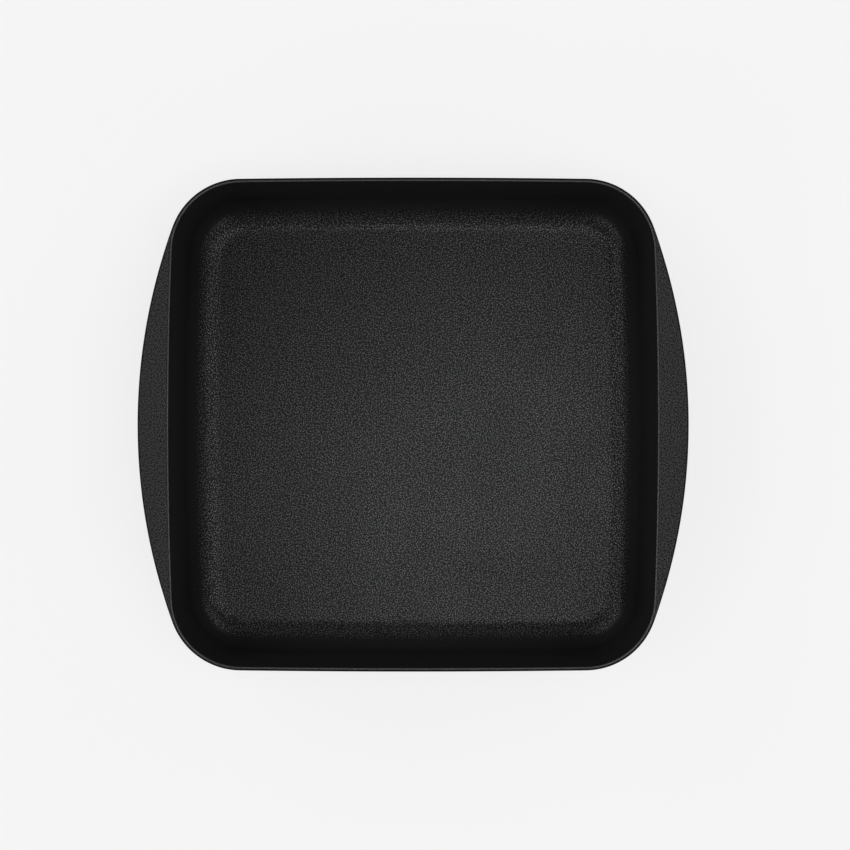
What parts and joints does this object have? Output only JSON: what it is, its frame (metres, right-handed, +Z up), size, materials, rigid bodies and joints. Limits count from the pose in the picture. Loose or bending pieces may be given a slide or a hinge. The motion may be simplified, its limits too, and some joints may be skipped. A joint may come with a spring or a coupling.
{
  "type": "square roasting pan",
  "caption": "Square matte black roasting pan with gently bowed sides, rounded corners, a coved non-stick interior and crescent handles level with the rim.",
  "frame": {"origin": "centre of the underside, on the surface that the pan stands on", "axes": "+X along the two handles, +Y across them, +Z up out of the mouth"},
  "size_m": [0.306, 0.274, 0.0622],
  "materials": {
    "black_casting": "matte",
    "black_handle": "matte",
    "nonstick_coat": "satin"
  },
  "bodies": {
    "root": {"pan_body": "black_casting", "left_handle": "black_handle", "right_handle": "black_handle", "nonstick_lining": "nonstick_coat"}
  },
  "joints": []
}
